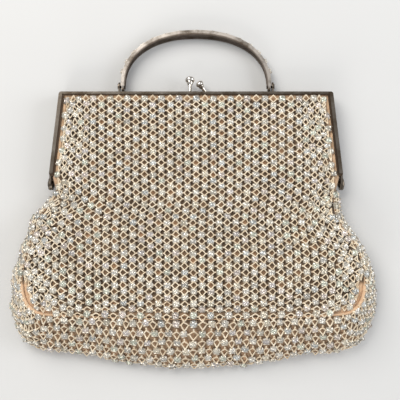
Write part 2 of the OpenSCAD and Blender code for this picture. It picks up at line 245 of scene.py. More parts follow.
def gusset_strip(q, w, depth):
    """Points of the gusset: q along its seams, w from its back seam at 0 to its front seam at 1."""
    w = w[None, :, None]

    def seam(path, inset, z):
        flat = inset_path(path, q, inset)
        return np.concatenate([flat, np.broadcast_to(z, q.shape)[:, None]], 1)[:, None, :]

    back = seam(OUTLINE, 1.5 + 0.8 * depth, depth)
    belly = seam(OUTLINE, depth - 4, 7 - 0.5 * depth)
    front = seam(FRONT_SEAM, 0.6 * depth, seam_z(q) - depth)
    return back * (1 - w) ** 2 + 2 * belly * w * (1 - w) + front * w**2


def slouched(points):
    """Points of the pouch moved sideways, as the soft bag has slumped; the part in the frame stays."""
    y = points[..., 1]
    outside = 0.15 + 0.85 * smooth((np.abs(points[..., 0]) - 40) / 40)
    shift = SLOUCH_LOW * smooth((2 - y) / 20)
    at_waist = np.exp(-((y - WAIST_Y) / 11) ** 2) * smooth((6 - y) / 9)
    shift = shift + SLOUCH_WAIST * outside * at_waist
    moved = points.copy()
    moved[..., 0] -= shift
    return moved


def set_all(thing, **values):
    """Sets several properties of a Blender thing."""
    for name, value in values.items():
        setattr(thing, name, value)


def grid(rows, columns):
    return np.meshgrid(rows, columns, indexing="ij")


def unit(v):
    return v / np.maximum(np.linalg.norm(v, axis=-1, keepdims=True), 1e-9)


def between(table, row, column, first=(0, 0)):
    """Values of a table whose first row and column are given, blended between its entries."""
    r = np.clip(row - first[0], 0, table.shape[0] - 1)
    c = np.clip(column - first[1], 0, table.shape[1] - 1)
    i, j = np.minimum(r.astype(int), table.shape[0] - 2), np.minimum(c.astype(int), table.shape[1] - 2)
    fr, fc = r - i, c - j
    if table.ndim == 3:
        fr, fc = fr[..., None], fc[..., None]
    near = table[i, j] * (1 - fc) + table[i, j + 1] * fc
    far = table[i + 1, j] * (1 - fc) + table[i + 1, j + 1] * fc
    return near * (1 - fr) + far * fr


class Patch:
    """A panel of cloth: a table of points at depth 0 and at TABLE_DEPTH, with a scale along each side.

    Its heights are Y at the middle of each row.
    """

    def __init__(self, outer, inner, rows, columns):
        self.outer, self.inner = slouched(outer), slouched(inner)
        self.rows, self.columns = rows, columns
        self.heights = self.outer[:, len(columns) // 2, 1]

    def point(self, row, column, depth=0.0):
        """Points at a row and column of the table's scales, below the outer face by depth."""
        i = np.interp(row, self.rows, np.arange(len(self.rows)))
        j = np.interp(column, self.columns, np.arange(len(self.columns)))
        outer, inner = between(self.outer, i, j), between(self.inner, i, j)
        return outer + (inner - outer) * (np.asarray(depth) / TABLE_DEPTH)[..., None]

    def sheet_grid(self):
        """Rows and columns of the points that a flat panel's cloths are made of."""
        return grid(np.linspace(0, self.rows[-1], 90), np.linspace(-1, 1, 121))


def waves(x, y, length, seed):
    """A smooth random field about 1 high, with features about length across."""
    pick = np.random.default_rng(seed)
    total = 0
    for _ in range(5):
        angle, phase = pick.uniform(0, 2 * np.pi, 2)
        k = 2 * np.pi / (length * pick.uniform(0.7, 1.4))
        total = total + np.sin(k * (x * np.cos(angle) + y * np.sin(angle)) + phase)
    return total / 2.2


def arc(points):
    """Distance along a line of points."""
    step = np.linalg.norm(np.diff(points, axis=0), axis=1)
    return np.concatenate([[0], np.cumsum(step)])


# ---- meshes ----

def put_mesh(name, points, faces, material, smooth_shaded=True, uv=None, tint=None):
    """An object from points in mm and a list of face arrays, each of one kind of polygon."""
    mesh = bpy.data.meshes.new(name)
    mesh.vertices.add(len(points))
    mesh.vertices.foreach_set("co", (points * MM).astype(np.float32).ravel())
    corner_lists = [np.asarray(f, np.int32) for f in faces]
    loops = np.concatenate([f.ravel() for f in corner_lists])
    sizes = np.concatenate([np.full(len(f), f.shape[1]) for f in corner_lists])
    mesh.loops.add(len(loops))
    mesh.loops.foreach_set("vertex_index", loops)
    mesh.polygons.add(len(sizes))
    mesh.polygons.foreach_set("loop_start", np.concatenate([[0], np.cumsum(sizes)[:-1]]).astype(np.int32))
    mesh.update(calc_edges=True)
    mesh.polygons.foreach_set("use_smooth", np.full(len(sizes), smooth_shaded))
    if uv is not None:
        layer = mesh.uv_layers.new(name="UVMap")
        layer.data.foreach_set("uv", uv[loops].astype(np.float32).ravel())
    if tint is not None:
        colour = mesh.color_attributes.new("tint", "FLOAT_COLOR", "POINT")
        rgba = np.concatenate([tint, np.ones((len(tint), 1))], 1)
        colour.data.foreach_set("color", rgba.astype(np.float32).ravel())
    mesh.validate()
    mesh.materials.append(material)
    thing = bpy.data.objects.new(name, mesh)
    bpy.context.scene.collection.objects.link(thing)
    return thing


def grid_faces(rows, columns, start=0, flip=False, wrap=False):
    """Quads of a grid of rows by columns of points."""
    i, j = grid(np.arange(rows - 1), np.arange(columns if wrap else columns - 1))
    k = (j + 1) % columns
    quads = np.stack([i * columns + j, i * columns + k, (i + 1) * columns + k, (i + 1) * columns + j], -1)
    quads = quads.reshape(-1, 4) + start
    return quads[:, ::-1] if flip else quads


def put_slab(name, top, bottom, material, uv=None, tint=None):
    """A closed sheet between two grids of points."""
    rows, columns = top.shape[:2]
    n = rows * columns
    ring = np.concatenate([
        np.arange(columns), np.arange(2, rows + 1) * columns - 1,
        (rows - 1) * columns + np.arange(columns - 2, -1, -1), np.arange(rows - 2, 0, -1) * columns])
    after = np.roll(ring, -1)
    faces = [grid_faces(rows, columns, flip=True), grid_faces(rows, columns, start=n),
             np.stack([ring, after, after + n, ring + n], 1)]
    points = np.concatenate([top.reshape(-1, 3), bottom.reshape(-1, 3)])
    uv, tint = (v if v is None else np.concatenate([v.reshape(n, -1)] * 2) for v in (uv, tint))
    return put_mesh(name, points, faces, material, uv=uv, tint=tint)


def tubes(lines, normals, radius, sides=5, closed=True):
    """Tubes along lines of points, N by K by 3, with their own UVs: mm along, then turns around."""
    ahead = np.roll(lines, -1, 1) - np.roll(lines, 1, 1)
    if not closed:
        ahead[:, 0], ahead[:, -1] = lines[:, 1] - lines[:, 0], lines[:, -1] - lines[:, -2]
    side = unit(np.cross(unit(ahead), normals))
    up = unit(np.cross(side, unit(ahead)))
    angle = np.arange(sides) * 2 * np.pi / sides
    around = up[:, :, None] * np.cos(angle)[:, None] + side[:, :, None] * np.sin(angle)[:, None]
    points = lines[:, :, None] + around * np.asarray(radius)[..., None, None]
    count, steps = lines.shape[:2]
    i, j = grid(np.arange(steps if closed else steps - 1), np.arange(sides))
    i2, j2 = (i + 1) % steps, (j + 1) % sides
    one = np.stack([i * sides + j, i2 * sides + j, i2 * sides + j2, i * sides + j2], -1).reshape(-1, 4)
    faces = (one[None] + (np.arange(count) * steps * sides)[:, None, None]).reshape(-1, 4)
    step = np.linalg.norm(np.diff(lines, axis=1), axis=2)
    run = np.concatenate([np.zeros((count, 1)), np.cumsum(step, 1)], 1)
    uv = np.stack(np.broadcast_arrays(run[..., None], np.arange(sides) / sides), -1)
    parts = [faces]
    if not closed:
        cap = np.arange(sides)
        first = cap[None] + (np.arange(count) * steps * sides)[:, None]
        parts += [first, (first + (steps - 1) * sides)[:, ::-1]]
    return points.reshape(-1, 3), parts, uv.reshape(-1, 2)


def join_parts(parts):
    """Several (points, faces, uv, tint) as one."""
    points, face_lists, uvs, tints = zip(*parts)
    starts = np.cumsum([0] + [len(p) for p in points[:-1]])
    faces = [f + start for faces, start in zip(face_lists, starts) for f in faces]
    return np.concatenate(points), faces, np.concatenate(uvs), np.concatenate(tints)


# ---- what the net is made of ----

def ring_points(count, radius, z, turn=0.0):
    angle = (np.arange(count) + turn) * 2 * np.pi / count
    return np.stack([radius * np.cos(angle), radius * np.sin(angle), np.full(count, z)], 1)


def stone_template():
    """A cut stone: a girdle of 16, eight kites, a star of facets in its crown, and a flat underside."""
    girdle_low, girdle = ring_points(16, STONE_R, 1.15), ring_points(16, STONE_R, 1.35)
    middle, table = ring_points(8, 1.62, 1.78, 0.5), ring_points(8, 1.2, STONE_TOP, 0.0)
    star, heart = ring_points(8, 0.62, 1.84, 0.5), np.array([[0.0, 0.0, 2.0]])
    points = np.concatenate([girdle_low, girdle, middle, table, star, heart])
    quads, triangles = grid_faces(2, 16, wrap=True).tolist(), []
    for k in range(8):
        here, after = 16 + 2 * k, 16 + (2 * k + 1)
        nxt = 16 + (2 * k + 2) % 16
        before = 32 + (k - 1) % 8
        corner, next_corner = 40 + k, 40 + (k + 1) % 8
        triangles += [[here, after, 32 + k], [after, nxt, 32 + k], [corner, 32 + k, next_corner],
                      [corner, next_corner, 48 + k], [next_corner, 48 + (k + 1) % 8, 48 + k],
                      [48 + k, 48 + (k + 1) % 8, 56]]
        quads.append([before, here, 32 + k, corner])
    return points, [np.array(quads), np.array(triangles), np.arange(16)[None, ::-1]]


def cup_template(foot=0.1):
    """A claw cup: a bowl on its foot, and four claws folded over the stone."""
    rings = ((1.5, foot), (2.12, 0.55), (2.2, 1.3), (2.04, 1.3), (1.9, 1.05))
    sides = 10
    bowl = np.concatenate([ring_points(sides, r, z) for r, z in rings])
    start = len(bowl)
    bottom, inside = np.arange(sides)[None, ::-1], np.arange(start - sides, start)[None]
    points, quads = [bowl], [grid_faces(len(rings), sides, wrap=True)]
    for k in range(4):
        a = np.pi / 4 + k * np.pi / 2
        out, across = np.array([np.cos(a), np.sin(a), 0]), np.array([-np.sin(a), np.cos(a), 0])
        rows = []
        for r, z, half in ((2.22, 0.5, 0.5), (2.3, 1.4, 0.52), (1.92, 1.96, 0.46), (1.1, 2.22, 0.3)):
            lift = out * 0.2 if z < 1.5 else np.array([0, 0, 0.24])
            core = out * r + np.array([0, 0, z])
            rows += [core - across * half, core + across * half, core + across * half * 0.7 + lift,
                     core - across * half * 0.7 + lift]
        points.append(np.array(rows))
        quads.append(grid_faces(4, 4, start=start, wrap=True))
        quads.append(np.array([[start, start + 1, start + 2, start + 3],
                               [start + 15, start + 14, start + 13, start + 12]]))
        start += 16
    return np.concatenate(points), [np.concatenate(quads), bottom, inside]


def stamp(template, places, x_axes, y_axes, normals, scale, tint):
    """Copies of a template at places, each on its own axes."""
    points, faces = template
    axes = np.stack([x_axes, y_axes, normals], 1) * scale[:, None, None]
    moved = places[:, None] + np.einsum("mk,nkd->nmd", points, axes)
    offset = np.arange(len(places)) * len(points)
    copies = [(f[None] + offset[:, None, None]).reshape(-1, f.shape[1]) for f in faces]
    uv = np.tile(points[:, :2] / STONE_R, (len(places), 1))
    return moved.reshape(-1, 3), copies, uv, np.repeat(tint, len(points), 0)


def turned(x_axes, y_axes, normals, tilt, spin):
    """Axes turned about their normals by about spin and tilted by about tilt."""
    lean = random.normal(0, tilt, (len(normals), 2))
    n = unit(normals + lean[:, :1] * x_axes + lean[:, 1:] * y_axes)
    angle = random.normal(0, spin, (len(normals), 1))
    x = x_axes * np.cos(angle) + y_axes * np.sin(angle)
    x = unit(x - (x * n).sum(1, keepdims=True) * n)
    return x, np.cross(n, x), n


STONE_TINTS = np.array([
    [0.90, 0.88, 0.83], [0.92, 0.89, 0.80], [0.78, 0.83, 0.72], [0.88, 0.79, 0.75],
    [0.76, 0.80, 0.81], [0.82, 0.78, 0.79], [0.88, 0.82, 0.68], [0.64, 0.62, 0.58]])
TINT_SHARE = [0.25, 0.24, 0.13, 0.09, 0.1, 0.06, 0.08, 0.05]


class Net:
    """Lays stones, cups and thread rings on a patch. place(row, column) gives the patch's own scales."""

    def __init__(self, patch, place, reach, thread=THREAD_R, size=1.0, facing=0.0):
        self.patch, self.place, self.reach = patch, place, reach
        self.thread, self.size, self.facing = thread, size, facing

    def point(self, row, column, height=0.0):
        """A point over the lattice, height above the net's base plane."""
        return self.patch.point(*self.place(row, column), NET_T - height)

    def axes(self, row, column):
        step = 0.2
        x = unit(self.point(row, column + step) - self.point(row, column - step))
        y = unit(self.point(row - step, column) - self.point(row + step, column))
        outward = self.point(row, column, 1.0) - self.point(row, column)
        n = unit(np.cross(x, y))
        n = n * np.sign((n * outward).sum(-1, keepdims=True))
        return x, unit(np.cross(n, x)), n

    def rings(self, row, column, tint):
        """Diamond loops of thread: high over the stones above and below, low at their sides."""
        a = np.arange(16) * 2 * np.pi / 16
        across = self.reach[0] * np.sign(np.cos(a)) * np.abs(np.cos(a)) ** 1.75
        along = self.reach[1] * np.sign(np.sin(a)) * np.abs(np.sin(a)) ** 1.75
        high = 0.95 + 1.0 * np.sin(a) ** 2
        r, c = row[:, None] + along[None], column[:, None] + across[None]
        lines = self.point(r, c, high)
        normals = np.repeat(self.axes(row, column)[2][:, None], 16, 1)
        parts = [tubes(lines, normals, self.thread)]
        tie = np.array([0.34, 0.47, 0.6])
        ends = [(0.0, -1.0), (0.0, 1.0)]
        if self.reach[1] < 0.5:
            ends += [(-1.0, 0.0), (1.0, 0.0)]
        for down, side in ends:
            r, c = row[:, None] + down * (tie + 0.05), column[:, None] + side * tie
            lines = self.point(r, c, np.array([0.95, 1.0, 1.25]) + 0.5 * abs(down))
            parts.append(tubes(lines, normals[:, :3], self.thread * 1.15, closed=False))
        return join_parts([(p, f, uv, np.repeat(tint, len(p) // len(tint), 0)) for p, f, uv in parts])

    def stones(self, row, column, lift, scale, tilt, bright):
        x, y, n = self.axes(row, column)
        base = self.point(row, column) + n * lift[:, None]
        kind = random.choice(len(STONE_TINTS), len(row), p=TINT_SHARE)
        # A painted highlight: bright lightens the stones near the edges and those facing up, for their
        # glints.
        tint = STONE_TINTS[kind] * random.uniform(0.72, 1.08, (len(row), 1)) * bright[:, None]
        cup_tint = np.repeat(random.uniform(0.65, 1.05, (len(row), 1)), 3, 1)
        up = self.facing * smooth(n[:, 2:] * 3 + 0.6)
        n = unit(n + up * np.array([0.0, 0.0, 1.0]))
        x, y, n = turned(x, y, n, tilt[:, None], 0.16)
        cut = stamp(stone_template(), base, x, y, n, scale, tint)
        return cut, stamp(cup_template(), base, x, y, n, scale, cup_tint)


# ---- materials ----

class Value:
    """A value in a material, from a node's output. Sums with it add Math nodes."""

    def __init__(self, shader, socket):
        self.shader, self.socket = shader, socket

    def __rsub__(self, other):
        return self.shader.math("SUBTRACT", other, self)


def operator(operation):
    return lambda value, other=0.0: value.shader.math(operation, value, other)


OPERATORS = {"__add__": "ADD", "__sub__": "SUBTRACT", "__mul__": "MULTIPLY", "__truediv__": "DIVIDE",
             "__pow__": "POWER", "__abs__": "ABSOLUTE", "sine": "SINE"}
for method, operation in OPERATORS.items():
    setattr(Value, method, operator(operation))


class Shader:
    """A node material. add() makes a node, and takes numbers, colours or Values as its inputs."""

    def __init__(self, name):
        self.material = bpy.data.materials.new(name)
        self.material.use_nodes = True
        self.tree = self.material.node_tree
        self.tree.nodes.clear()
        self.output = self.tree.nodes.new("ShaderNodeOutputMaterial")
        places = self.add("TexCoord").outputs
        self.point, self.uv = Value(self, places["Object"]), Value(self, places["UV"])

    def add(self, kind, inputs=None, **settings):
        node = self.tree.nodes.new("ShaderNode" + kind)
        set_all(node, **settings)
        for key, value in (inputs or {}).items():
            if isinstance(value, Value):
                self.tree.links.new(value.socket, node.inputs[key])
            else:
                node.inputs[key].default_value = value
        return node

    def value(self, kind, inputs=None, output=0, **settings):
        """An output of a new node."""
        return Value(self, self.add(kind, inputs, **settings).outputs[output])

    def math(self, operation, a, b=0.0):
        return self.value("Math", {0: a, 1: b}, operation=operation)

    def mix(self, share, a, b, blend="MIX"):
        return self.value("Mix", {0: share, 6: a, 7: b}, 2, data_type="RGBA", blend_type=blend)

    def ramp(self, value, *stops):
        """Colours, or numbers as greys, at stops along a value."""
        node = self.add("ValToRGB", {0: value})
        while len(node.color_ramp.elements) < len(stops):
            node.color_ramp.elements.new(0.5)
        for element, (at, colour) in zip(node.color_ramp.elements, stops):
            element.position = at
            element.color = (*colour, 1) if isinstance(colour, tuple) else (colour, colour, colour, 1)
        return Value(self, node.outputs[0])

    def noise(self, scale, detail=3.0, rough=0.55, squeeze=None):
        """Noise over the object, which can be finer along Y."""
        vector = self.point
        if squeeze:
            vector = self.value("Mapping", {0: vector, 3: (1.0, squeeze, 1.0)})
        return self.value("TexNoise", {"Vector": vector, "Scale": scale, "Detail": detail,
                                       "Roughness": rough})

    def parts(self, vector, kind="SeparateXYZ"):
        return [Value(self, socket) for socket in self.add(kind, {0: vector}).outputs]

    def tint(self):
        """The mesh's own colour."""
        return self.value("Attribute", None, "Color", attribute_name="tint")

    def finish(self, colour, roughness, bump=None, bump_mm=0.1, **sockets):
        inputs = {"Base Color": colour, "Roughness": roughness}
        inputs.update((key.replace("_", " "), value) for key, value in sockets.items())
        if bump is not None:
            inputs["Normal"] = self.value("Bump", {"Height": bump, "Distance": bump_mm * MM})
        shader = self.add("BsdfPrincipled", inputs)
        self.tree.links.new(shader.outputs[0], self.output.inputs[0])
        return self.material


def thread_material():
    """Cream thread, two-ply, a little soiled, with painted shade between its plies."""
    s = Shader("cream_thread")
    along, around = s.parts(s.uv)[:2]
    ply = abs(((along * 1.1 + around * 2.0) * math.pi).sine())
    pale, cream, soiled = (1.0, 0.92, 0.76), (0.94, 0.81, 0.61), (0.76, 0.60, 0.41)
    colour = s.ramp(s.noise(260.0), (0.3, soiled), (0.5, cream), (0.75, pale))
    colour = s.mix(1.0, colour, s.tint(), "MULTIPLY")
    # Painted shade: darker brown in the grooves between the plies.
    colour = s.mix((1.0 - ply) * 0.35, colour, (0.42, 0.29, 0.16, 1))
    return s.finish(colour, 0.55, ply, 0.06, Sheen_Weight=0.35, Sheen_Roughness=0.4)


def stone_material():
    """Foil-backed cut glass: the facets reflect, and the pavilion's reflections are painted as rays inside.
    """
    s = Shader("cut_glass")
    u, v = s.parts(s.uv)[:2]
    # Painted reflections: light and dark rays and rings, for the pavilion's facets that the foil reflects.
    rays = abs((s.math("ARCTAN2", v, u) * 4.0).sine())
    steps = abs((s.math("SQRT", u * u + v * v) * 7.5).sine())
    dark, middle, light = (0.24, 0.22, 0.21), (0.54, 0.52, 0.49), (0.90, 0.90, 0.88)
    pattern = s.ramp(rays * 0.45 + steps * 0.3, (0.1, dark), (0.45, middle), (0.72, light))
    colour = s.mix(1.0, pattern, s.tint(), "MULTIPLY")
    dust = s.noise(900.0)
    return s.finish(colour, dust * 0.16 + 0.06, dust, 0.01, Metallic=0.35, Coat_Weight=0.7,
                    Coat_Roughness=0.04, Coat_IOR=1.55, IOR=1.6)


def cup_material():
    """Claw cups of thin plated metal, dulled to a warm grey."""
    s = Shader("claw_cup")
    dull, plated, bright = (0.52, 0.45, 0.35), (0.86, 0.80, 0.70), (0.96, 0.93, 0.86)
    colour = s.ramp(s.noise(400.0), (0.3, dull), (0.55, plated), (0.8, bright))
    colour = s.mix(1.0, colour, s.tint(), "MULTIPLY")
    return s.finish(colour, s.noise(1500.0) * 0.3 + 0.25, s.noise(2500.0), 0.02, Metallic=0.7)


def weave(s, threads_per_mm):
    """Height of a plain weave."""
    x, y = s.parts(s.point)[:2]
    turn = math.pi * threads_per_mm / MM
    return (abs((x * turn).sine()) + abs((y * turn).sine())) * 0.5


def backing_material():
    """Peach plain-weave cloth, with painted shade in brown under the net.

    UV holds the lattice column and row. The tint's red is how much painted shade the cloth gets, and its
    green how crowded the net is, which deepens that shade.
    """
    s = Shader("peach_backing")
    column, row = s.parts(s.uv)[:2]
    dx = (s.math("FRACT", column) - 0.5) * COLUMN
    dy = (s.math("FRACT", row) - 0.5) * ROW
    # Painted shade under the net: brown inside each thread ring, with a random tone per ring, and darkest
    # in the holes between the rings.
    hollow = 1.0 - s.math("SQRT", dx * dx + dy * dy) / 2.2
    cell = s.value("CombineXYZ", {0: s.math("ROUND", column), 1: s.math("ROUND", row)})
    chance = s.value("TexWhiteNoise", {"Vector": cell})
    shaded_inside_ring = s.ramp(chance, (0.0, (0.13, 0.085, 0.05)), (0.6, (0.24, 0.15, 0.085)),
                         (1.0, (0.46, 0.27, 0.15)))
    shadow_between_rings = s.ramp(hollow, (0.45, (0.125, 0.078, 0.043)), (0.75, (0.07, 0.046, 0.027)))
    brown = s.mix(s.ramp(hollow, (0.05, 0.0), (0.45, 1.0)), shaded_inside_ring, shadow_between_rings)
    # The tint's red sets how much painted shade the cloth gets; where the net is crowded, its green, the
    # painted shade is a deeper brown.
    soiled, crowded = s.parts(s.tint(), "SeparateColor")[:2]
    brown = s.mix(crowded, brown, (0.075, 0.048, 0.028, 1))
    peach = s.ramp(s.noise(500.0), (0.3, (0.66, 0.42, 0.25)), (0.7, (0.80, 0.56, 0.36)))
    share = soiled * s.ramp(s.noise(55.0, 4.0), (0.25, 0.75), (0.5, 1.0)) * 0.97
    return s.finish(s.mix(share, peach, brown), 0.8, weave(s, 1.6), 0.08, Sheen_Weight=0.2)


def lining_material():
    """Old satin, peach, with a soft sheen and faint cross creases."""
    s = Shader("lining_satin")
    colour = s.ramp(s.noise(40.0), (0.3, (0.60, 0.40, 0.26)), (0.7, (0.76, 0.55, 0.38)))
    rough = s.noise(2200.0) * 0.15 + 0.28
    return s.finish(colour, rough, s.noise(60.0, squeeze=4.0), 0.6, Sheen_Weight=0.5, Anisotropic=0.5)


def inside_of_arch(s):
    """1 on the inner side of the handle's front rim, where shade is painted, and 0 on its outer side."""
    a, b, n = HANDLE_ARCH
    x, y = s.parts(s.point)[:2]
    across = abs(x / (a * MM)) ** n
    up = abs((y - PIVOT_Y * MM) / (b * (1 + HANDLE_FLARE) * MM)) ** n
    return s.ramp((across + up) ** (1 / n), (0.978, 1.0), (0.994, 0.0))


def frame_material(name, bright=(0.23, 0.20, 0.17), worn=0.66, groove=None, arch=False):
    """Aged plated metal: bright where worn, tarnished brown in hollows, with painted shade in its groove
    and arch.
    """
    s = Shader(name)
    tarnish, dull = (0.095, 0.068, 0.046), (0.155, 0.128, 0.10)
    colour = s.ramp(s.noise(90.0, 5.0, 0.65), (worn - 0.34, tarnish), (worn - 0.2, dull), (worn, bright))
    openness = s.value("AmbientOcclusion", {"Distance": 1.6 * MM}, "AO", samples=8)
    darkening = s.ramp(openness, (0.35, 1.0), (0.85, 0.0))
    # Painted shade: a dark line along the groove, at a height given in mm.
    if groove:
        height, half = groove
        in_groove = s.math("LESS_THAN", abs(s.parts(s.point)[2] * (1 / MM) - height), half)
        darkening = s.math("MAXIMUM", darkening, in_groove * 0.9)
    # Painted shade on the inner half of the handle's front rim.
    if arch:
        darkening = s.math("MAXIMUM", darkening, inside_of_arch(s) * 0.8)
    colour = s.mix(darkening, colour, (0.055, 0.034, 0.021, 1))
    rough = s.noise(350.0, 2.0, squeeze=14.0) * 0.16 + darkening * 0.3 + 0.24
    return s.finish(colour, rough, s.noise(700.0), 0.03, Metallic=0.92)


def knob_material():
    """Polished silver with fine scuffs."""
    s = Shader("polished_knob")
    colour = s.ramp(s.noise(300.0), (0.3, (0.50, 0.46, 0.40)), (0.6, (0.76, 0.72, 0.67)))
    return s.finish(colour, s.ramp(s.noise(1200.0), (0.4, 0.12), (0.8, 0.28)), Metallic=1.0)


def paper_material():
    """Twisted kraft paper cord."""
    s = Shader("paper_cord")
    stripes = s.value("TexWave", {"Vector": s.point, "Scale": 420.0, "Distortion": 3.0}, 1)
    colour = s.ramp(stripes, (0.2, (0.48, 0.38, 0.25)), (0.8, (0.70, 0.60, 0.44)))
    return s.finish(colour, 0.85, stripes, 0.1)


def floor_material():
    """A pale plain floor."""
    s = Shader("pale_floor")
    pale = (0.64, 0.64, 0.635)
    return s.finish(s.ramp(s.noise(9.0), (0.3, pale), (0.7, tuple(v * 0.98 for v in pale))), 0.85)


# ---- patches ----

def front_slack(x, y, half, run, total):
    """How far the front panel stands off its smooth shape: sag, dents and puckers, none at its edges."""
    side = half - np.abs(x)
    inside = smooth(np.minimum(np.minimum(side, total - run), run - 3) / 9)
    close = smooth(np.minimum(side, run - 2) / 3)
    dents = 0
    for sign in (-1, 1):
        dx, dy = x - sign * DENT[0], y - DENT[1]
        along, across = (dx * sign + dy) / 1.414, (dx * sign - dy) / 1.414
        dents = dents - DENT_DEPTH * np.exp(-(along / DENT_SPREAD[0]) ** 2 - (across / DENT_SPREAD[1]) ** 2)
    sag = 0.7 * waves(x, y, 46, 3) + 0.25 * waves(x, y, 17, 4)
    gather = np.exp(-side / 9) * 0.75 * waves(x * 0.25, y, 10, 5)
    gather = gather + np.exp(-run / 8) * 0.5 * waves(x, y * 0.2, 9, 6)
    return inside * (sag + dents) + close * gather


def settled(outer):
    """The front panel's points after the cloth has sunk between its seams under its own weight."""
    scene = bpy.context.scene
    sample = outer[::SETTLE_STEP, ::SETTLE_STEP]
    rows, columns = sample.shape[:2]
    plain = bpy.data.materials.new("settling")
    sheet = put_mesh("settling", sample.reshape(-1, 3), [grid_faces(rows, columns)], plain)
    held = np.zeros((rows, columns), bool)
    held[:2], held[-2:], held[:, :2], held[:, -2:] = True, True, True, True
    group = sheet.vertex_groups.new(name="held")
    group.add(np.flatnonzero(held.ravel()).tolist(), 1.0, "REPLACE")
    cloth = sheet.modifiers.new("cloth", "CLOTH")
    set_all(cloth.settings, vertex_group_mass="held", mass=0.005, tension_stiffness=15.0,
            compression_stiffness=15.0, shear_stiffness=5.0, bending_stiffness=0.5, air_damping=3.0,
            quality=6)
    cloth.collision_settings.use_collision = False
    cloth.point_cache.frame_start, cloth.point_cache.frame_end = 1, SETTLE_FRAMES
    for moment in range(1, SETTLE_FRAMES + 1):
        scene.frame_set(moment)
    shape = sheet.evaluated_get(bpy.context.evaluated_depsgraph_get()).to_mesh()
    after = np.empty(rows * columns * 3)
    shape.vertices.foreach_get("co", after)
    moved = after.reshape(rows, columns, 3) / MM - sample
    scene.frame_set(1)
    bpy.data.objects.remove(sheet, do_unlink=True)
    far = np.linalg.norm(moved, axis=-1, keepdims=True)
    moved *= SETTLE_CAP * np.tanh(far / SETTLE_CAP) / np.maximum(far, 1e-6)
    i, j = grid(*(np.arange(n) / SETTLE_STEP for n in outer.shape[:2]))
    return outer + between(moved, i, j)


def panel_rows(points_of, end, count):
    """A panel's rows, evenly apart down its middle: the height of each, and how far down it is."""
    heights = np.linspace(CLOTH_TOP, end, 500)
    run = arc(points_of(heights, np.array([0.0]), 0.0)[:, 0])
    rows = np.linspace(0, run[-1], count)
    return np.interp(rows, run, heights), rows


def front_patch():
    """The front panel's patch, and its half-width at each row."""
    y, rows = panel_rows(front_rows, FRONT_END, 135)
    outer, inner = front_rows(y, ACROSS, 0.0), front_rows(y, ACROSS, TABLE_DEPTH)
    half = outer[:, -1:, 0]
    lift = front_slack(outer[..., 0], outer[..., 1], half, rows[:, None], rows[-1])
    outer[..., 2] += lift
    inner[..., 2] += lift
    sunk = settled(outer) - outer
    return Patch(outer + sunk, inner + sunk, rows, ACROSS), half[:, 0]


def back_patch():
    """The back panel's patch, and its half-width at each row."""
    y, rows = panel_rows(back_rows, BACK_END, 165)
    outer = back_rows(y, ACROSS, 0.0)
    return Patch(outer, back_rows(y, ACROSS, TABLE_DEPTH), rows, ACROSS), outer[:, -1, 0]


def gusset_patch():
    """The strip all the way round, the distances along half of it, and its width at each.

    Its columns are distances from the middle of the base, and its rows distances down from the ridge.
    """
    fine = np.linspace(0, 3, 1201)
    length = arc(on_path(OUTLINE, fine))
    steps = np.linspace(0, length[-1], 161)
    q = np.interp(length[-1] - steps, length, fine)
    reach = np.arange(0, 48.0)
    tables, spans = [], None
    for depth in (0.0, TABLE_DEPTH):
        strip = gusset_strip(q, np.linspace(1, 0, 80), depth)
        if spans is None:
            spans = [arc(line) for line in strip]
        rows = [[np.interp(reach, span, line[:, d]) for d in range(3)] for span, line in zip(spans, strip)]
        over = inset_path(FRONT_SEAM, q, 0.6 * depth + OVER_RIDGE)
        over = np.concatenate([over, (seam_z(q) - depth)[:, None]], 1)
        right = np.concatenate([over[None], np.array(rows).transpose(2, 0, 1)])
        left = right[:, :0:-1] * np.array([-1, 1, 1])
        tables.append(np.concatenate([left, right], 1))
    columns = np.concatenate([-steps[:0:-1], steps])
    width = np.array([span[-1] for span in spans])
    outer, inner = tables
    down = np.concatenate([[-OVER_RIDGE], reach])[:, None]
    room = np.concatenate([width[:0:-1], width]) - down
    ripple = 0.45 * waves(columns, down, 15, 11) + 0.5 * waves(columns, down * 0.4, 38, 12)
    bulge = unit(outer - inner) * (smooth(down / 5) * smooth(room / 5) * ripple)[..., None]
    outer = outer + bulge
    outer[..., 2] = np.maximum(outer[..., 2], 0.05)
    return Patch(outer, inner + bulge, down[:, 0], columns), steps, width


# ---- the nets ----

def bunch(x, edge, natural_edge):
    """Where lattice columns that would lie at x come to lie, so that natural_edge comes to edge."""
    start = edge - EDGE_ZONE
    width = natural_edge - start
    s = np.clip((np.abs(x) - start) / width, 0, 1.2)
    near = start + width * s - (width - EDGE_ZONE) * s**1.5
    return np.sign(x) * np.where(np.abs(x) < start, np.abs(x), near)


